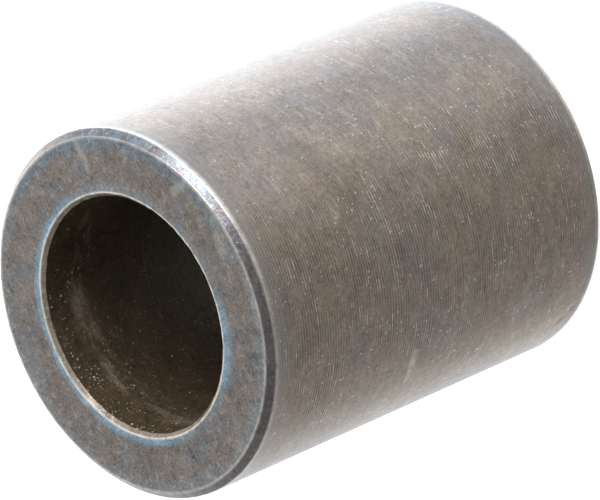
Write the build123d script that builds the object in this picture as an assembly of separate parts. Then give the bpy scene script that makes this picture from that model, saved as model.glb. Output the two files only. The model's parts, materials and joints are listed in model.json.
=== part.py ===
from build123d import *

import os

# Spacer sleeve: a plain turned steel tube that slides over a bolt or pin and keeps two parts a set
# distance apart. It is one piece, faced square at both ends. Each end has a 45 degree chamfer on the
# outside and a smaller one as a lead-in to the bore, and every corner left by the tool is slightly rounded.
#
# The sleeve stands on one end. The origin is the centre of that end face, +Z runs up the bore. Millimetres.

# Driving dimensions
OUTSIDE_DIAMETER = 25.0
BORE_DIAMETER = 16.0  # slides on a 16 mm pin
LENGTH = 32.0
OUTER_CHAMFER = 0.5  # leg of the 45 degree chamfer on the outside of each end
BORE_CHAMFER = 0.25  # leg of the 45 degree lead-in at each mouth of the bore
OUTER_EDGE_ROUND = 0.1  # radius that deburring leaves on the corners of the outer chamfers
BORE_EDGE_ROUND = 0.05  # the same on the corners of the lead-ins


def wall_profile():
    """The wall's cross-section on the XZ plane: a closed outline between the bore and the outside."""
    outside = OUTSIDE_DIAMETER / 2
    bore = BORE_DIAMETER / 2
    face_inner = bore + BORE_CHAMFER
    face_outer = outside - OUTER_CHAMFER
    outer_corners = [
        (face_outer, 0),
        (outside, OUTER_CHAMFER),
        (outside, LENGTH - OUTER_CHAMFER),
        (face_outer, LENGTH),
    ]
    bore_corners = [
        (face_inner, LENGTH),
        (bore, LENGTH - BORE_CHAMFER),
        (bore, BORE_CHAMFER),
        (face_inner, 0),
    ]
    middle_of_wall = (outside + bore) / 2
    with BuildSketch(Plane.XZ) as section:
        with BuildLine():
            Polyline(*outer_corners, *bore_corners, close=True)
        make_face()
        outer_side = section.vertices().filter_by(lambda corner: corner.X > middle_of_wall)
        fillet(outer_side, OUTER_EDGE_ROUND)
        bore_side = section.vertices().filter_by(lambda corner: corner.X < middle_of_wall)
        fillet(bore_side, BORE_EDGE_ROUND)
    return section.sketch


def sleeve():
    """The whole part, turned: the wall's profile revolved once about the bore's axis."""
    turned = revolve(wall_profile(), axis=Axis.Z, revolution_arc=360)
    turned.label = "sleeve"
    return turned


os.makedirs("parts", exist_ok=True)
export_step(sleeve(), "parts/sleeve.step")
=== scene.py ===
# %% [markdown]
# # A turned spacer sleeve, finished in Blender
#
# The sleeve is one piece of steel bar: turned on the outside, bored through, faced square at both ends and
# then blackened. The solid already fixes its size, so this lesson only gives it the surface that the real
# one has: the fine spiral that the lathe tool leaves, the brown and blue tones of the oxide, bright worn
# corners, a dark oily bore, dust and a few knocks.
#
# Everything is in metres in the solid's own frame: the sleeve stands on one end, and +Z runs up its bore.

import json
import math

import bpy
from mathutils import Matrix, Vector, noise


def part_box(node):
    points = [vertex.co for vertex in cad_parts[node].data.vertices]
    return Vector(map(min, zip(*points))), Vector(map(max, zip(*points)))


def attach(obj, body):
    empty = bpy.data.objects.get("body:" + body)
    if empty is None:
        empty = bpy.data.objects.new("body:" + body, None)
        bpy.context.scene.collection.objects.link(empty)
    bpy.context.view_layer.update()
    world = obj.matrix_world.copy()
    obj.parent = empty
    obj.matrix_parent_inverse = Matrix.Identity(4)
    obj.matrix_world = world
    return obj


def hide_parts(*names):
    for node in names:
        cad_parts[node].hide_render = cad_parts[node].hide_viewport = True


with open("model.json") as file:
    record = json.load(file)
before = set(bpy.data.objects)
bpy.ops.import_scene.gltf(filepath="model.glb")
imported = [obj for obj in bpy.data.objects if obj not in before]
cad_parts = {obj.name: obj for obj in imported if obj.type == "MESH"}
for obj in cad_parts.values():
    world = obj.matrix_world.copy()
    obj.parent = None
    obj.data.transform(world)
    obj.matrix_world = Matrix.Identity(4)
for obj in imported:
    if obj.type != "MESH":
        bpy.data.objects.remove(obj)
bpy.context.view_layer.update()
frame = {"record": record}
low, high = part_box("sleeve")
mounts = {mount["name"]: mount for mount in frame["record"]["mounts"]}

MM = 0.001
RADIUS = (high.x - low.x) / 2 / MM
LENGTH = (high.z - low.z) / MM
BORE = mounts["bore"]["dims"]["r_mm"]
print(f"sleeve: {2 * RADIUS:.2f} mm outside, {2 * BORE:.2f} mm bore, {LENGTH:.2f} mm long")

# %% [markdown]
# ## The section
#
# A turned part is one outline spun about an axis, so the mesh is made the same way: a closed section of the
# wall, then one ring of points for each point of it. A Screw modifier would do the same, but rings made
# one by one can be packed closely at the rounded corners and at the ends, where the dents are, and left wide
# elsewhere. The corners are real arcs, because the light that runs along them is what says "metal".

# %% Outline of the wall
OUTER_CHAMFER = 0.5
BORE_CHAMFER = 0.25
OUTER_ROUND = 0.1
BORE_ROUND = 0.05


def rounded_corner(before, corner, after, radius, steps):
    """Points of the arc that replaces a corner, and the two tangent points at its ends."""
    before, corner, after = Vector(before), Vector(corner), Vector(after)
    back, ahead = (before - corner).normalized(), (after - corner).normalized()
    half_angle = back.angle(ahead) / 2
    reach = radius / math.tan(half_angle)
    centre = corner + (back + ahead).normalized() * radius / math.sin(half_angle)
    first, last = corner + back * reach - centre, corner + ahead * reach - centre
    sweep = first.angle_signed(last)
    arc = []
    for step in range(steps + 1):
        turn = Matrix.Rotation(-sweep * step / steps, 2)
        arc.append(centre + turn @ first)
    return arc


outside_corners = [
    ((RADIUS - OUTER_CHAMFER, 0), OUTER_ROUND),
    ((RADIUS, OUTER_CHAMFER), OUTER_ROUND),
    ((RADIUS, LENGTH - OUTER_CHAMFER), OUTER_ROUND),
    ((RADIUS - OUTER_CHAMFER, LENGTH), OUTER_ROUND),
    ((BORE + BORE_CHAMFER, LENGTH), BORE_ROUND),
    ((BORE, LENGTH - BORE_CHAMFER), BORE_ROUND),
    ((BORE, BORE_CHAMFER), BORE_ROUND),
    ((BORE + BORE_CHAMFER, 0), BORE_ROUND),
]
# The stretch that follows each corner: its finish, and how far apart its rings are at its ends and between.
stretches = [
    ("chamfer", 0.12, 0.12),
    ("outside", 0.15, 0.32),
    ("chamfer", 0.12, 0.12),
    ("face", 0.2, 0.4),
    ("lead_in", 0.08, 0.08),
    ("bore", 0.3, 1.0),
    ("lead_in", 0.08, 0.08),
    ("face", 0.2, 0.4),
]
print(f"the section has {len(outside_corners)} corners")

# %% [markdown]
# A ring close beside each arc keeps the flat beside it flat: Blender averages the normals of the faces round
# a point, and without that ring the average would tilt the light over the whole flat.

# %% Rings along the section
ARC_STEPS = 4
GUARD = 0.035  # how close to an arc the ring that holds the flat is
END_ZONE = 3.6  # how far in from each end of a stretch the close rings go


def ring_places(run, close, wide):
    """Distances along a straight stretch, close together at both ends and wider in the middle."""
    zone = min(END_ZONE, run / 3)
    close_steps = max(1, round((zone - GUARD) / close))
    wide_steps = max(1, round((run - 2 * zone) / wide))
    start = [GUARD + (zone - GUARD) * step / close_steps for step in range(close_steps)]
    middle = [zone + (run - 2 * zone) * step / wide_steps for step in range(wide_steps + 1)]
    return start + middle + [run - place for place in reversed(start)]


def section_rings():
    """(radius, height, finish) of each ring, once round the wall's section."""
    count = len(outside_corners)
    arcs = []
    for i, (corner, radius) in enumerate(outside_corners):
        before = outside_corners[i - 1][0]
        after = outside_corners[(i + 1) % count][0]
        arcs.append(rounded_corner(before, corner, after, radius, ARC_STEPS))
    rings = []
    for i, (finish, close, wide) in enumerate(stretches):
        edge_finish = finish if finish in ("chamfer", "lead_in") else stretches[i - 1][0]
        rings += [(p.x, p.y, edge_finish) for p in arcs[i][:-1]]
        start, end = arcs[i][-1], arcs[(i + 1) % count][0]
        run = (end - start).length
        for place in [0.0] + ring_places(run, close, wide):
            point = start.lerp(end, place / run)
            rings.append((point.x, point.y, finish))
    return rings


rings = section_rings()
print(f"{len(rings)} rings")

# %% [markdown]
# ## Knocks and worn edges
#
# Loose steel parts knock against each other. Near one end the wall has small round dings, and the edges of
# the rim and of the bore are a little ragged. Both change the outline, so they move the points of the mesh:
# a bump in the material would leave the edge itself perfectly straight. Sculpting would also do, but a list
# of places can be read and changed. A place on the wall is its height and its angle from +X.

# %% Dings and ragged edges
# (height, angle, radius, depth) of each ding in the wall
DINGS = [
    (1.5, -30, 0.42, 0.050),
    (2.3, -34, 0.36, 0.040),
    (3.1, -31, 0.30, 0.030),
    (0.9, -18, 0.34, 0.045),
    (1.7, -26, 0.26, 0.030),
    (2.1, -154, 0.50, 0.055),
    (1.4, -150, 0.40, 0.060),
    (3.0, -156, 0.34, 0.035),
    (1.2, -141, 0.30, 0.040),
]
# Scale of the raggedness at the bore's mouth and at the rim, in millimetres.
RAGGED_MOUTH, RAGGED_RIM = 0.035, 0.016


def wall_point(height, angle, radius=RADIUS):
    """The point at that height and at that angle from +X, in millimetres."""
    return Vector((radius * math.cos(math.radians(angle)), radius * math.sin(math.radians(angle)), height))


def ding_shape(distance):
    """Depth of a ding at a distance from its middle, in its own radii and depths."""
    return (1 - distance**2) ** 2 if distance < 1 else 0.0


def worn(point):
    """A point of the perfect sleeve, moved by what has worn it."""
    radius = math.hypot(point.x, point.y)
    from_end = min(point.z, LENGTH - point.z)
    inward = 0.0
    if radius > RADIUS - OUTER_CHAMFER - 0.1:
        for centre, size, depth in ding_centres:
            inward += depth * ding_shape((point - centre).length / size)
        if from_end < OUTER_CHAMFER + 0.15:
            inward += RAGGED_RIM * (0.5 + 0.5 * noise.noise(point * 1.7))
    if radius < BORE + BORE_CHAMFER + 0.05 and from_end < BORE_CHAMFER + 0.2:
        inward = -RAGGED_MOUTH * (noise.noise(point * 1.9) + 0.5 * noise.noise(point * 5.0))
    scale = (radius - inward) / radius
    return Vector((point.x * scale, point.y * scale, point.z))


ding_centres = [(wall_point(height, angle), size, depth) for height, angle, size, depth in DINGS]
print(f"{len(ding_centres)} dings")

# %% [markdown]
# ## Spinning it
#
# On the lathe the bar turns and the tool stays on its outline. Here every ring of the section is swept once
# round in equal steps, and each point is worn as it is placed. Four-sided faces between neighbouring rings
# close the surface, so it needs no caps and has no seam.

# %% Spin the section
COLUMNS = 360
FINISHES = ["outside", "face", "chamfer", "lead_in", "bore"]


def spin(rings, columns):
    """A closed mesh from the rings: its points, its four-sided faces, and each face's finish."""
    points, faces, finishes = [], [], []
    for radius, height, _ in rings:
        for column in range(columns):
            points.append(worn(wall_point(height, 360 * column / columns, radius)) * MM)
    for i, (_, _, finish) in enumerate(rings):
        here, above = i * columns, (i + 1) % len(rings) * columns
        for column in range(columns):
            beside = (column + 1) % columns
            faces.append((here + column, here + beside, above + beside, above + column))
            finishes.append(FINISHES.index(finish))
    return points, faces, finishes


points, faces, finishes = spin(rings, COLUMNS)
mesh = bpy.data.meshes.new("turned_sleeve")
mesh.from_pydata(points, [], faces)
mesh.polygons.foreach_set("material_index", finishes)
mesh.polygons.foreach_set("use_smooth", [True] * len(faces))
mesh.update()
sleeve = bpy.data.objects.new("turned_sleeve", mesh)
bpy.context.scene.collection.objects.link(sleeve)
print(f"{len(points)} points, {2 * len(faces)} triangles")

# %% [markdown]
# ## Shader maths in plain Python
#
# A finish is a recipe of many small sums: a groove here, a patch there, more of one where there is less of
# another. Wiring those by hand hides the recipe, so one small class wraps a node's output and lets Python's
# operators add the Math nodes.

# %% A socket that can be calculated with
class Wire:
    """An output of a node. Arithmetic on it adds Math nodes to its tree."""

    def __init__(self, bench, socket):
        self.bench, self.socket = bench, socket

    def math(self, operation, *others):
        inputs = dict(enumerate([self, *others]))
        return self.bench.node("ShaderNodeMath", {"operation": operation}, inputs)

    def __add__(self, other):
        return self.math("ADD", other)

    __radd__ = __add__

    def __mul__(self, other):
        return self.math("MULTIPLY", other)

    __rmul__ = __mul__

    def __sub__(self, other):
        return self.math("SUBTRACT", other)

    def __rsub__(self, other):
        return (self * -1) + other

    def __truediv__(self, other):
        return self.math("DIVIDE", other)


class Bench:
    """One node tree, and the single method that puts a node in it."""

    def __init__(self, tree):
        self.tree = tree
        tree.nodes.clear()

    def node(self, kind, settings=None, inputs=None, output=0):
        made = self.tree.nodes.new(kind)
        for name, value in (settings or {}).items():
            if name == "stops":
                self.set_stops(made.color_ramp, value)
            else:
                setattr(made, name, value)
        for key, value in (inputs or {}).items():
            if isinstance(value, Wire):
                self.tree.links.new(value.socket, made.inputs[key])
            else:
                made.inputs[key].default_value = value
        return Wire(self, made.outputs[output]) if len(made.outputs) else None

    @staticmethod
    def set_stops(ramp, stops):
        while len(ramp.elements) < len(stops):
            ramp.elements.new(1.0)
        for element, (position, colour) in zip(ramp.elements, stops):
            element.position = position
            element.color = (*colour, 1.0)

    def noise(self, where, scale, detail=2.0, roughness=0.5):
        inputs = {"Vector": where, "Scale": scale, "Detail": detail, "Roughness": roughness}
        return self.node("ShaderNodeTexNoise", None, inputs)

    def fade(self, value, start, end):
        """0 up to start, 1 from end on, and a smooth passage between them."""
        inputs = {"Value": value, "From Min": start, "From Max": end}
        return self.node("ShaderNodeMapRange", {"interpolation_type": "SMOOTHSTEP"}, inputs)

    def blend(self, share, first, second, mode="MIX"):
        """The second colour over the first, by share."""
        settings = {"data_type": "RGBA", "blend_type": mode}
        return self.node("ShaderNodeMix", settings, {0: share, 6: first, 7: second}, output=2)

    def stretch(self, where, factors):
        """A vector multiplied along each axis."""
        return self.node("ShaderNodeVectorMath", {"operation": "MULTIPLY"}, {0: where, 1: factors})


print("bench ready")

# %% [markdown]
# ## Where on the sleeve a point is
#
# Every finish asks the same questions: how far from the axis, how far round, how far from the nearer end.
# They are worked out once per material from the Object coordinate, in millimetres. No UV map is needed, so
# there is no seam, and the finish stays put wherever the sleeve is moved.

# %% Coordinates shared by all the finishes
WAVER = 0.25  # how far a scratch strays from its line, in millimetres


class Steel(Bench):
    """The node tree of one finish of the sleeve, with the coordinates that it is drawn in."""

    def __init__(self, name):
        self.material = bpy.data.materials.new(name)
        self.material.use_nodes = True
        super().__init__(self.material.node_tree)
        metres = self.node("ShaderNodeTexCoord", output="Object")
        self.place = self.stretch(metres, (1 / MM, 1 / MM, 1 / MM))
        self.x, self.y, self.z = (
            self.node("ShaderNodeSeparateXYZ", None, {0: self.place}, output=axis) for axis in range(3)
        )
        self.radius = (self.x * self.x + self.y * self.y).math("SQRT")
        self.turn = self.y.math("ARCTAN2", self.x) / (2 * math.pi)
        self.from_end = LENGTH / 2 - (self.z - LENGTH / 2).math("ABSOLUTE")
        # In these coordinates a noise is drawn out round the sleeve, the way the tool ran.
        self.tool_way = self.stretch(self.place, (0.3, 0.3, 1.0))
        waver = self.node("ShaderNodeTexNoise", None, {"Vector": self.place, "Scale": 1.5}, output=1)
        self.wavering = self.node(
            "ShaderNodeVectorMath", {"operation": "MULTIPLY_ADD"}, {0: waver, 1: (WAVER,) * 3, 2: self.place}
        )

    def near_corner(self, radius, from_end, reach):
        """1 on a corner of the section, falling to 0 at that reach from it."""
        across, along = self.radius - radius, self.from_end - from_end
        gap = (across * across + along * along).math("SQRT")
        return self.fade(gap, reach, 0.0)

    def towards(self, angle):
        """1 on the side of the sleeve that lies at that angle from +X, -1 on the opposite side."""
        across, along = math.cos(math.radians(angle)), math.sin(math.radians(angle))
        return (self.x * across + self.y * along) / self.radius

    def specks(self, per_mm, size, share, offset=0.0):
        """Small round spots: cells of a Voronoi pattern, of which only a share has a spot."""
        where = self.node("ShaderNodeVectorMath", {"operation": "ADD"}, {0: self.place, 1: (offset,) * 3})
        inputs = {"Vector": where, "Scale": per_mm}
        gap = self.node("ShaderNodeTexVoronoi", None, inputs, output="Distance")
        draw = self.node("ShaderNodeTexVoronoi", None, inputs, output="Color")
        chance = self.node("ShaderNodeSeparateColor", None, {0: draw}, output=0)
        return self.fade(gap, size * per_mm, 0.4 * size * per_mm) * self.fade(chance, 1 - share, 1.02 - share)

    def strokes(self, tilt, spin, length, width, share):
        """Short straight scratches: the same spots, drawn out along one direction."""
        inputs = {0: self.place, 2: (tilt, 0, spin)}
        where = self.node("ShaderNodeMapping", {"vector_type": "TEXTURE"}, inputs)
        thin = self.stretch(where, (1 / width, 1 / width, 1 / length))
        inputs = {"Vector": thin, "Scale": 0.25}
        gap = self.node("ShaderNodeTexVoronoi", None, inputs, output="Distance")
        draw = self.node("ShaderNodeTexVoronoi", None, inputs, output="Color")
        chance = self.node("ShaderNodeSeparateColor", None, {0: draw}, output=0)
        return self.fade(gap, 0.14, 0.05) * self.fade(chance, 1 - share, 1.02 - share)

    def scratch(self, start, end, width):
        """1 along the straight line between two points in millimetres, and 0 from that width out."""
        run = end - start
        offset = self.node("ShaderNodeVectorMath", {"operation": "SUBTRACT"}, {0: self.wavering, 1: start})
        share = self.node(
            "ShaderNodeVectorMath",
            {"operation": "DOT_PRODUCT"},
            {0: offset, 1: run / run.length_squared},
            "Value",
        )
        share = share.math("MAXIMUM", 0.0).math("MINIMUM", 1.0)
        nearest = self.node("ShaderNodeVectorMath", {"operation": "SCALE"}, {0: run, "Scale": share})
        gap = self.node("ShaderNodeVectorMath", {"operation": "DISTANCE"}, {0: offset, 1: nearest}, "Value")
        return self.fade(gap, width, width * 0.2)

    def grit(self, where, scale, strength):
        """Sparse lighter and darker grains: only a noise's tails count, so the rest is smooth."""
        grain = self.noise(where, scale, 2.0, 0.6)
        return self.fade(grain, 0.56, 0.70) * strength - self.fade(grain, 0.44, 0.32) * (strength * 0.6)

    def finish(self, colour, roughness, height, metallic=1.0):
        """Ties the recipe to the shader. height is in millimetres."""
        bump = self.node("ShaderNodeBump", None, {"Strength": 1.0, "Distance": MM, "Height": height})
        inputs = {"Base Color": colour, "Roughness": roughness, "Metallic": metallic, "Normal": bump}
        shader = self.node("ShaderNodeBsdfPrincipled", None, inputs)
        self.node("ShaderNodeOutputMaterial", None, {"Surface": shader})
        return self.material


print("coordinates ready")

# %% [markdown]
# ## Oxide, worn corners and dust
#
# Blackening leaves a thin oxide that isn't one colour: brown where it is thin, violet and blue where the film
# is thicker. Large soft noise picks between those tones. The corners rub bright first, so bare steel comes
# through along them in broken lines, and pale dust sits everywhere in small specks.

# %% Tones of blackened steel
BROWN_OXIDE = (0.208, 0.172, 0.143, 1)
VIOLET_OXIDE = (0.188, 0.163, 0.160, 1)
BLUE_OXIDE = (0.170, 0.178, 0.188, 1)
BARE_STEEL = (0.62, 0.590, 0.540, 1)
DUST = (0.60, 0.55, 0.46, 1)


def oxide(steel, violet=0.5, blue=0.3):
    """Brown oxide with soft patches of violet and blue."""
    large = steel.noise(steel.place, 0.22, 3.0)
    other = steel.noise(steel.stretch(steel.place, (1.0, 1.0, 1.3)), 0.31, 3.0, 0.6)
    colour = steel.blend(steel.fade(large, 0.46, 0.64) * violet, BROWN_OXIDE, VIOLET_OXIDE)
    return steel.blend(steel.fade(other, 0.50, 0.68) * blue, colour, BLUE_OXIDE)


def mottle(steel, strength=1.0):
    """Soft clouds and fine grain, as a factor about 1."""
    cloud = steel.noise(steel.place, 0.7, 3.0, 0.6)
    grain = steel.noise(steel.place, 5.5, 2.0, 0.8)
    return 1 + (cloud - 0.5) * (0.75 * strength) + (grain - 0.5) * (1.3 * strength)


def shade(steel, colour, factor):
    """A colour made lighter or darker by a factor."""
    grey = steel.node("ShaderNodeCombineColor", None, {0: factor, 1: factor, 2: factor})
    return steel.blend(1.0, colour, grey, "MULTIPLY")


def corner_wear(steel, colour, corners, metal=BARE_STEEL):
    """Bare metal along corners (radius, from_end, reach, share), broken up by noise."""
    broken = steel.fade(steel.noise(steel.place, 1.6, 4.0, 0.7), 0.34, 0.56)
    for radius, from_end, reach, share in corners:
        mask = steel.near_corner(radius, from_end, reach) * (0.45 + 0.55 * broken) * share
        colour = steel.blend(mask, colour, metal)
    return colour


def dust(steel, colour, amount=1.0):
    """Pale specks of two sizes over the colour, and how much they cover."""
    cover = steel.specks(3.6, 0.050, 0.30 * amount) * 0.6
    cover = cover.math("MAXIMUM", steel.specks(1.15, 0.080, 0.26 * amount, offset=17.3) * 0.95)
    return steel.blend(cover, colour, DUST), cover


print("oxide ready")

# %% [markdown]
# ## The turned outside
#
# A lathe tool with a rounded nose leaves one long spiral groove: shallow, a few thousandths of a millimetre
# deep, with a sharp crest between one turn and the next. The phase of that spiral is height over feed plus
# the share of a turn, which closes on itself with no seam. The same wave raises the bump and lightens the
# crests, since they rub first. On one side the lines are nearly polished away, and some marks touch only the
# crests, which shows as rows of short ticks.

# %% Turned outside
FEED = 0.237
GROOVE_DEPTH = 0.004
LINE_STEEL = (0.40, 0.375, 0.345, 1)
END_TONE = (0.235, 0.232, 0.235, 1)
DIRT = (0.055, 0.045, 0.036, 1)

# (height, angle) of both ends of each mark, how wide it is, how bright, and whether only crests carry it.
OUTSIDE_MARKS = [
    ((19.4, -126.0), (14.8, -128.4), 0.16, 0.75, True),
    ((12.8, -95.5), (10.3, -103.5), 0.09, 0.80, False),
    ((11.3, -97.0), (10.9, -104.5), 0.08, 0.55, False),
    ((20.0, -88.0), (19.9, -97.0), 0.60, 0.50, True),
    ((20.0, -103.0), (19.8, -115.0), 0.60, 0.60, True),
    ((14.5, -78.5), (12.9, -80.5), 0.45, 0.95, True),
    ((13.9, -75.0), (13.5, -83.0), 0.30, 0.80, True),
    ((9.8, -81.5), (5.9, -82.3), 0.26, 0.90, True),
    ((5.2, -82.0), (2.2, -82.6), 0.24, 0.75, True),
    ((16.3, -137.5), (16.1, -141.5), 0.09, 0.85, False),
    ((14.2, -138.5), (14.0, -140.0), 0.08, 0.80, False),
    ((12.0, -117.0), (11.9, -121.0), 0.12, 0.80, False),
    ((17.0, -110.0), (16.7, -112.5), 0.22, 0.80, True),
    ((8.1, -101.0), (8.0, -103.0), 0.12, 0.85, False),
    ((10.0, -105.5), (9.7, -106.8), 0.12, 0.80, False),
    ((18.2, -138.0), (18.0, -149.0), 0.45, 0.35, False),
    ((10.7, -22.0), (10.6, -44.0), 0.14, 0.22, False),
]


def tool_lines(steel):
    """The spiral's groove, 0 in its bottom and 1 on its crest, and how much of it is left to see."""
    drift = (steel.noise(steel.stretch(steel.place, (0.0, 0.0, 1.0)), 0.35, 2.0) - 0.5) * 1.2
    saw = (steel.z / FEED + steel.turn + drift).math("FRACT") * 2 - 1
    polished = steel.fade(steel.x, -1.0, 7.5) * (0.5 + 0.5 * steel.fade(steel.z, 11.0, 20.0))
    wide = steel.fade(steel.noise(steel.place, 0.28, 3.0, 0.6), 0.42, 0.58)
    broken = steel.fade(steel.noise(steel.tool_way, 2.0, 3.0, 0.7), 0.46, 0.62)
    kept = (1 - polished * 0.90) * (0.34 + wide * 0.34 + broken * 0.38)
    return saw * saw, kept


def turned_outside():
    steel = Steel("turned_outside")
    bow, kept = tool_lines(steel)
    crest = steel.fade(bow, 0.30, 0.95)

    factor = mottle(steel, 0.75) + steel.grit(steel.place, 3.0, 0.24) + steel.grit(steel.tool_way, 2.6, 0.20)
    factor = factor * (1 - kept * (1 - crest) * 0.34) * 1.02
    colour = shade(steel, oxide(steel, 0.45, 0.25), factor * 1.2)
    ends = steel.fade(steel.from_end, 2.8, 0.7) * (0.35 + steel.noise(steel.tool_way, 1.2, 3.0, 0.7) * 0.9)
    colour = steel.blend(ends * 0.62, colour, END_TONE)
    colour = steel.blend(crest * kept * 0.40, colour, LINE_STEEL)

    clusters = steel.fade(steel.noise(steel.place, 0.42, 3.0, 0.6), 0.43, 0.58)
    ticks = steel.fade(steel.noise(steel.tool_way, 3.6, 2.0, 0.5), 0.57, 0.66) * crest * clusters
    colour = steel.blend(ticks * (0.35 + 0.6 * kept), colour, BARE_STEEL)
    nicks = steel.strokes(0.35, 0.2, 0.8, 0.11, 0.12) + steel.strokes(-0.7, 1.1, 0.6, 0.09, 0.12)
    colour = steel.blend(nicks * 0.6, colour, BARE_STEEL)
    glints = steel.specks(3.2, 0.085, 0.30, offset=5.1) * (0.10 + 0.7 * clusters)
    colour = steel.blend(glints, colour, BARE_STEEL)
    patchy = steel.fade(steel.noise(steel.place, 3.2, 3.0, 0.7), 0.30, 0.50)
    in_ticks = steel.fade(steel.noise(steel.place, 4.0, 2.0, 0.6), 0.44, 0.56) * (0.05 + 0.95 * crest)
    for start, end, width, strength, on_crests in OUTSIDE_MARKS:
        mark = steel.scratch(wall_point(*start), wall_point(*end), width) * strength
        mark = mark * (in_ticks if on_crests else patchy)
        colour = steel.blend(mark, colour, BARE_STEEL)
    stain = steel.scratch(wall_point(23.6, -62), wall_point(21.6, -80), 2.2)
    colour = steel.blend(stain * 0.16, colour, DIRT)
    # Painted highlight: the bare-metal line where the outside meets each chamfer is made stronger on the side
    # at -62 degrees from +X. It is partly a rubbed edge and partly a highlight painted into the colour.
    brighter_edge_side = 0.35 + 0.65 * steel.fade(steel.towards(-62), 0.72, 0.97)
    colour = corner_wear(steel, colour, [(RADIUS, OUTER_CHAMFER, 0.42, brighter_edge_side)])
    colour, cover = dust(steel, colour)

    roughness = 0.36 + (steel.noise(steel.place, 2.3, 3.0) - 0.5) * 0.16 + cover * 0.3
    height = bow * kept * GROOVE_DEPTH + steel.noise(steel.place, 6.0, 3.0, 0.7) * 0.006 + cover * 0.01
    return steel.finish(colour, roughness, height)


# %% [markdown]
# ## The faced ends
#
# Facing sweeps the tool from the rim to the bore, so the marks it leaves are rings. The film of oxide looks
# blue beside the bore's mouth and along the outer rim, and slate grey with faint clouds between them. A thin
# pale line of bare metal lies on the mouth. An image texture could hold all this, but radius and angle are
# known at every point, so each band is a fade in one of them and stays sharp at any distance.

# %% Faced end
FACE_FEED = 0.16
SLATE_OXIDE = (0.193, 0.167, 0.150, 1)
MOUTH_BLUE = (0.215, 0.320, 0.395, 1)
STEEL_BLUE = (0.140, 0.182, 0.215, 1)
PALE_TEAL = (0.225, 0.242, 0.248, 1)
CREAM = (0.80, 0.74, 0.65, 1)

# (radius, angle) of both ends of each mark on the face, how wide it is and how bright
FACE_MARKS = [
    ((10.36, -39.4), (10.06, -44.4), 0.07, 0.75),
    ((10.05, -46.0), (9.70, -51.0), 0.10, 0.45),
    ((10.42, -86.8), (10.33, -91.0), 0.10, 0.70),
    ((11.42, -28.0), (11.30, -28.4), 0.10, 0.85),
    ((11.70, -56.0), (10.60, -53.0), 0.55, 0.28),
    ((11.60, -8.0), (9.90, -9.5), 0.50, 0.24),
    ((10.90, -76.0), (10.70, -82.0), 0.60, 0.25),
]


def end_point(radius, angle):
    """The point at that radius on the upper end, at that angle from +X, in millimetres."""
    return wall_point(LENGTH, angle, radius)


def faced_end():
    steel = Steel("faced_end")
    ragged = (steel.noise(steel.place, 2.2, 4.0, 0.7) - 0.5) * 0.7
    uneven = (steel.noise(steel.place, 0.45, 2.0) - 0.5) * 1.1
    blue_mouth = steel.fade(steel.towards(95), -0.25, 0.35)
    mouth = steel.fade(steel.radius + ragged + uneven * 0.5, BORE + 0.98, BORE + 0.52)
    mouth = mouth * (0.30 + 0.70 * blue_mouth)
    teal_patch = steel.fade(steel.towards(240), 0.90, 0.98) * steel.fade(
        steel.radius + ragged, BORE + 1.25, BORE + 0.55
    )
    rim = steel.fade(steel.radius + ragged + uneven, RADIUS - 1.6, RADIUS - 0.8)
    blue_side = steel.fade(steel.towards(-15), 0.30, 0.95)
    clouds = steel.fade(steel.noise(steel.place, 0.6, 5.0, 0.7), 0.47, 0.60)
    ring_saw = (steel.radius / FACE_FEED).math("FRACT") * 2 - 1

    colour = steel.blend(0.75, oxide(steel, 0.3, 0.3), SLATE_OXIDE)
    colour = steel.blend(clouds * 0.30, colour, STEEL_BLUE)
    colour = steel.blend(rim * (0.60 - 0.30 * blue_side), colour, PALE_TEAL)
    colour = steel.blend(rim * blue_side * 0.70, colour, STEEL_BLUE)
    colour = steel.blend(mouth * 0.85, colour, MOUTH_BLUE)
    colour = steel.blend(teal_patch * 0.75, colour, MOUTH_BLUE)
    factor = mottle(steel, 1.15) + steel.grit(steel.place, 2.2, 0.40) + steel.grit(steel.place, 5.0, 0.24)
    factor = factor * (1 + (ring_saw * ring_saw - 0.33) * 0.06)
    # Painted shade: the face is made lighter towards 22 degrees from +X and darker on the opposite side,
    # standing in for how the light falls across it.
    colour = shade(steel, colour, factor * (1.03 + steel.towards(22) * 0.045))
    patchy = steel.fade(steel.noise(steel.place, 3.2, 3.0, 0.7), 0.30, 0.50)
    for start, end, width, strength in FACE_MARKS:
        mark = steel.scratch(end_point(*start), end_point(*end), width) * patchy * strength
        colour = steel.blend(mark, colour, BARE_STEEL)
    scratches = steel.strokes(1.3, 0.5, 0.8, 0.05, 0.07) + steel.strokes(1.45, 2.2, 0.6, 0.05, 0.06)
    colour = steel.blend(scratches * 0.4, colour, BARE_STEEL)
    brighter_edge_side = 0.45 + 0.55 * steel.fade(steel.towards(95), 0.2, 0.8)
    corners = [(RADIUS - OUTER_CHAMFER, 0.0, 0.24, brighter_edge_side), (BORE + BORE_CHAMFER, 0.0, 0.19, 1.0)]
    colour = corner_wear(steel, colour, corners, CREAM)
    colour, cover = dust(steel, colour, 0.8)

    roughness = 0.42 + (steel.noise(steel.place, 2.0, 3.0) - 0.5) * 0.16 + cover * 0.3
    height = ring_saw * ring_saw * 0.002 + steel.noise(steel.place, 6.0, 3.0) * 0.006 + cover * 0.01
    return steel.finish(colour, roughness, height)


# %% [markdown]
# ## The chamfer
#
# The chamfer takes off the sharp outer edge: a narrow cone at 45 degrees, darker and plainer than the faces
# beside it, bluer on one side and browner on the other. Its own material keeps those tones off its
# neighbours, and both of its corners are rubbed bare.

# %% Chamfer
CHAMFER_OXIDE = (0.165, 0.155, 0.175, 1)
WARM_OXIDE_AND_REFLECTION = (0.225, 0.170, 0.128, 1)


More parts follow.
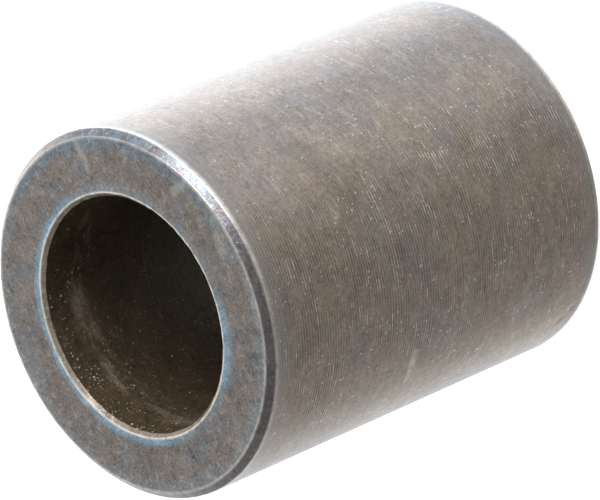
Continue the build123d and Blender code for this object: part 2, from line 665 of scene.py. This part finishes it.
def cut_chamfer():
    steel = Steel("cut_chamfer")
    # Partly painted reflection tint: the light blue patches towards -38 degrees and the warm tone towards 60
    # degrees are partly oxide and partly stand in for the tint of the light that each side mirrors.
    blue_side = steel.fade(steel.towards(-38), 0.62, 0.95)
    warm_side = steel.fade(steel.towards(60), 0.25, 0.80)
    colour = steel.blend(0.7, oxide(steel, 0.5, 0.6), CHAMFER_OXIDE)
    colour = steel.blend(warm_side, colour, WARM_OXIDE_AND_REFLECTION)
    patches = steel.fade(steel.noise(steel.place, 1.4, 4.0, 0.7), 0.42, 0.60)
    colour = steel.blend(blue_side * patches * 0.45, colour, MOUTH_BLUE)
    colour = shade(steel, colour, mottle(steel, 1.0) + steel.grit(steel.place, 3.0, 0.35))
    corners = [(RADIUS, OUTER_CHAMFER, 0.15, 0.9), (RADIUS - OUTER_CHAMFER, 0.0, 0.12, 0.7)]
    colour = corner_wear(steel, colour, corners)
    colour, cover = dust(steel, colour, 0.6)
    height = steel.noise(steel.place, 7.0, 3.0) * 0.008 + cover * 0.01
    roughness = 0.36 + (steel.noise(steel.place, 2.0, 3.0) - 0.5) * 0.14
    return steel.finish(colour, roughness, height)


# %% [markdown]
# ## The bore
#
# The bore is the darkest part: light reaches only its first few millimetres, and what oil is left there has
# dried to a brown film full of dust and lint. The film is what shows, so this finish is only partly metal.

# %% Lead-in and bore
OIL_FILM = (0.070, 0.050, 0.030, 1)
WIPED_FILM = (0.23, 0.185, 0.135, 1)
WIPED_AT, RING_AT = 3.2, 9.2  # how deep in the bore the wiped band and the tool ring lie
LEAD_IN_OXIDE = (0.20, 0.165, 0.130, 1)


def oiled_bore(name, colour, metallic, dustiness):
    steel = Steel(name)
    streak = steel.noise(steel.stretch(steel.place, (0.25, 0.25, 2.4)), 0.9, 3.0, 0.6)
    cloud = steel.noise(steel.place, 0.45, 3.0, 0.6)
    wiped = steel.fade((steel.from_end + (cloud - 0.5) * 3.0 - WIPED_AT).math("ABSOLUTE"), 1.3, 0.0)
    wiped = wiped * steel.fade(steel.noise(steel.tool_way, 0.9, 3.0, 0.7), 0.40, 0.66)
    colour = steel.blend(wiped * 0.7, colour, WIPED_FILM)
    ring = steel.fade((steel.from_end - RING_AT).math("ABSOLUTE"), 0.10, 0.02) * 0.18
    colour = steel.blend(ring * steel.fade(steel.towards(60), 0.2, 0.9), colour, WIPED_FILM)
    factor = mottle(steel, 0.9) * (0.55 + cloud * 0.9) + steel.grit(steel.place, 2.4, 0.5)
    colour = shade(steel, colour, factor)
    colour = corner_wear(steel, colour, [(BORE + BORE_CHAMFER, 0.0, 0.10, 0.9)])
    near_mouth = steel.fade(steel.from_end, 8.0, 0.4)
    settled = steel.fade(steel.noise(steel.place, 0.6, 3.0, 0.6), 0.42, 0.60) * near_mouth
    colour, cover = dust(steel, colour, 1.2)
    heavy = steel.specks(1.9, 0.12, 0.60, offset=3.7) * settled
    heavy = heavy.math("MAXIMUM", steel.specks(4.0, 0.07, 0.65, offset=9.1) * settled)
    lint = steel.strokes(1.0, 0.4, 0.7, 0.07, 0.10) + steel.strokes(0.4, 2.0, 0.5, 0.06, 0.12)
    lint = lint * (0.25 + 0.75 * near_mouth)
    covered = (heavy * 0.85).math("MAXIMUM", lint * 0.75) * dustiness
    colour = steel.blend(covered, colour, DUST)
    height = streak * 0.01 + steel.noise(steel.place, 5.0, 3.0) * 0.006 + (cover + covered) * 0.012
    roughness = 0.34 + (steel.noise(steel.place, 1.6, 3.0) - 0.5) * 0.2 + cover * 0.3
    return steel.finish(colour, roughness, height, metallic)


materials = {
    "outside": turned_outside(),
    "face": faced_end(),
    "chamfer": cut_chamfer(),
    "lead_in": oiled_bore("lead_in", LEAD_IN_OXIDE, 0.3, 0.6),
    "bore": oiled_bore("oiled_bore", OIL_FILM, 0.3, 1.0),
}
for finish in FINISHES:
    sleeve.data.materials.append(materials[finish])
    print(f"{finish}: {len(materials[finish].node_tree.nodes)} nodes")

# %% [markdown]
# ## Joining it to the solid
#
# The sleeve is one rigid piece, so this one surface stands for the whole solid and moves with its body.

# %% Hang the surface on the solid
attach(sleeve, "root")
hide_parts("sleeve")

# %% [markdown]
# ## Floor and light
#
# Dark metal shows what it mirrors, so the light is designed as a picture of a room: white and broad on one
# side, dimmer towards the camera. A World shader can be that picture, because its colour may depend on the
# direction looked in. The floor is a white sheet that glows a little, as a light table does. The sheet is
# hidden from reflections, so what the metal mirrors below the horizon is the World and not the sheet.

# %% Floor
floor_mesh = bpy.data.meshes.new("floor")
SPREAD = 2.0
floor_corners = [(-SPREAD, -SPREAD), (SPREAD, -SPREAD), (SPREAD, SPREAD), (-SPREAD, SPREAD)]
floor_mesh.from_pydata([(x, y, low.z) for x, y in floor_corners], [], [(0, 1, 2, 3)])
floor = bpy.data.objects.new("floor", floor_mesh)
bpy.context.scene.collection.objects.link(floor)
white = bpy.data.materials.new("white_table")
white.use_nodes = True
table = Bench(white.node_tree)
table_shader = table.node(
    "ShaderNodeBsdfPrincipled",
    None,
    {
        "Base Color": (0.8, 0.8, 0.8, 1),
        "Roughness": 0.9,
        "Emission Color": (1, 1, 1, 1),
        "Emission Strength": 0.8,
    },
)
table.node("ShaderNodeOutputMaterial", None, {"Surface": table_shader})
floor_mesh.materials.append(white)
floor.visible_glossy = False

# %% [markdown]
# The room has two ramps of brightness, one for directions above the horizon and one for those below. Seen
# from the camera, the standing wall mirrors the lower one, which sets how light each side of it is.

# %% Light of the room
world = bpy.data.worlds.new("studio")
bpy.context.scene.world = world
world.use_nodes = True
sky = Bench(world.node_tree)
direction = sky.node("ShaderNodeTexCoord", output="Generated")
KEY_SIDE = (0.731, 0.682, 0.0)
lit = sky.node(
    "ShaderNodeVectorMath", {"operation": "DOT_PRODUCT"}, {0: direction, 1: KEY_SIDE}, output="Value"
)
height = sky.node("ShaderNodeSeparateXYZ", None, {0: direction}, output=2)
PEAK = 3.2
NEUTRAL, COOL = (1.005, 1.0, 0.97), (0.90, 1.0, 1.135)


def light_ramp(share, levels):
    """Light along a ramp: (place, brightness, how cool) of each stop."""
    stops = []
    for at, level, coolness in levels:
        tint = [plain + (cool - plain) * coolness for plain, cool in zip(NEUTRAL, COOL)]
        stops.append((at, tuple(level * part / PEAK for part in tint)))
    return sky.node("ShaderNodeValToRGB", {"stops": stops}, {0: share})


# The camera sees the wall mirror light from 42 degrees below the horizon, where lit is at most this.
WALL_REACH = 0.743
below_levels = [
    (0.0, 0.60, 0.0),
    (0.07, 0.74, 0.0),
    (0.18, 0.89, 0.0),
    (0.33, 1.08, 0.0),
    (0.50, 1.555, 0.2),
    (0.67, 1.555, 0.6),
    (0.82, 1.57, 1.0),
    (0.93, 1.92, 0.9),
    (0.99, 3.0, 0.6),
]
below = light_ramp((lit / WALL_REACH + 1) / 2, below_levels)
above = light_ramp((lit + 1) / 2, [(0.0, 0.30, 0.0), (0.5, 0.72, 0.1), (0.75, 1.02, 0.3), (1.0, 1.3, 0.6)])
room = sky.blend(sky.fade(height, -0.30, 0.15), below, above)
background = sky.node("ShaderNodeBackground", None, {"Color": room, "Strength": PEAK})
sky.node("ShaderNodeOutputWorld", None, {"Surface": background})

# %% [markdown]
# ## Softbox
#
# The room alone leaves the bore dark. One square softbox lights its mouth and runs a highlight along part
# of the chamfer. A wide box at low power keeps that highlight soft.

# %% Softbox
centre = (low + high) / 2
SOFTBOX_SIDE = math.radians(-36)
SOFTBOX_RISE = math.radians(26)
SOFTBOX_DISTANCE, SOFTBOX_SIZE, SOFTBOX_POWER = 0.45, 0.26, 2.2
towards_box = Vector(
    (
        math.cos(SOFTBOX_RISE) * math.cos(SOFTBOX_SIDE),
        math.cos(SOFTBOX_RISE) * math.sin(SOFTBOX_SIDE),
        math.sin(SOFTBOX_RISE),
    )
)
softbox_lamp = bpy.data.lights.new("softbox", "AREA")
softbox_lamp.shape = "SQUARE"
softbox_lamp.size = SOFTBOX_SIZE
softbox_lamp.energy = SOFTBOX_POWER
softbox = bpy.data.objects.new("softbox", softbox_lamp)
softbox.location = centre + towards_box * SOFTBOX_DISTANCE
softbox.rotation_euler = towards_box.to_track_quat("Z", "Y").to_euler()
softbox.visible_camera = False
bpy.context.scene.collection.objects.link(softbox)

# %% [markdown]
# ## Camera
#
# The view is from far away through a long lens, so the ends look almost equal in size. It looks down on the
# standing sleeve by 42 degrees, and the camera is rolled well over, so the sleeve appears to lie on its side.

# %% Camera
LOOK_DOWN = 41.985
ROLL = 112.7
DISTANCE = 0.42077
SENSOR_WIDTH, FOCAL_LENGTH = 36, 382.86
AIM_OFFSET = Vector((-0.276, 0.16, 0.13)) * MM

tilt = math.radians(LOOK_DOWN)
forward = Vector((0, math.cos(tilt), -math.sin(tilt)))
level = Vector((1, 0, 0))
upright = level.cross(forward)
roll = math.radians(ROLL)
right = level * math.cos(roll) - upright * math.sin(roll)
up = right.cross(forward)
position = centre + AIM_OFFSET - forward * DISTANCE

lens = bpy.data.cameras.new("camera")
lens.sensor_width = SENSOR_WIDTH
lens.lens = FOCAL_LENGTH
camera = bpy.data.objects.new("camera", lens)
camera.matrix_world = Matrix(
    (
        (right.x, up.x, -forward.x, position.x),
        (right.y, up.y, -forward.y, position.y),
        (right.z, up.z, -forward.z, position.z),
        (0, 0, 0, 1),
    )
)
bpy.context.scene.collection.objects.link(camera)
bpy.context.scene.camera = camera
bpy.context.scene.view_settings.view_transform = "Standard"
print(f"camera at {tuple(round(v, 4) for v in position)}")
